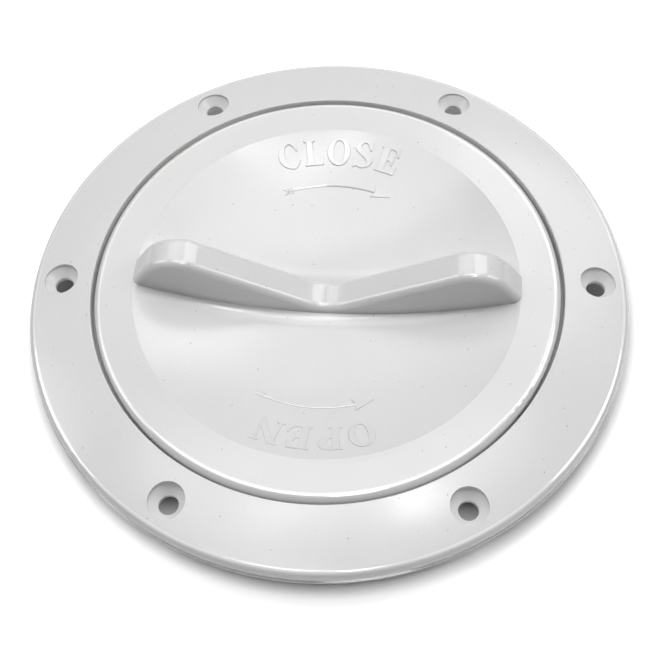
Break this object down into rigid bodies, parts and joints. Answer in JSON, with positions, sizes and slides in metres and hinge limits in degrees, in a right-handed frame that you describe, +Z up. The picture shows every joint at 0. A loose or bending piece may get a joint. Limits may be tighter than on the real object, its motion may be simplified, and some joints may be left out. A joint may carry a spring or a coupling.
{
  "type": "deck inspection plate",
  "caption": "Round screw-in deck inspection plate: a ring screwed to the deck, and a dished lid with a grip bar that unscrews to give access below.",
  "frame": {"origin": "centre of the screw circle, in the underside of the flange, which is the deck surface", "axes": "+Z up out of the deck along the thread's axis; +X through one of the screw holes"},
  "size_m": [0.17, 0.17, 0.0307],
  "materials": {
    "ring_plastic": "satin moulded white",
    "lid_plastic": "satin moulded white",
    "seal_rubber": "smooth black"
  },
  "bodies": {
    "deck_ring": {"deck_ring": "ring_plastic"},
    "seal": {"o_ring": "seal_rubber"},
    "lid": {"lid": "lid_plastic"}
  },
  "joints": [
    {"name": "lid_rise", "type": "slide", "parent": "deck_ring", "child": "seal", "axis": [0, 0, 1], "range_m": [0, 0.00625]},
    {"name": "lid_turn", "type": "hinge", "parent": "seal", "child": "lid", "pos_m": [0, 0, 0], "axis": [0, 0, 1], "range_deg": [0, 450]}
  ],
  "couplings": [
    {"joint": "lid_rise", "follows": "lid_turn", "m_per_rad": 0.00079577}
  ]
}
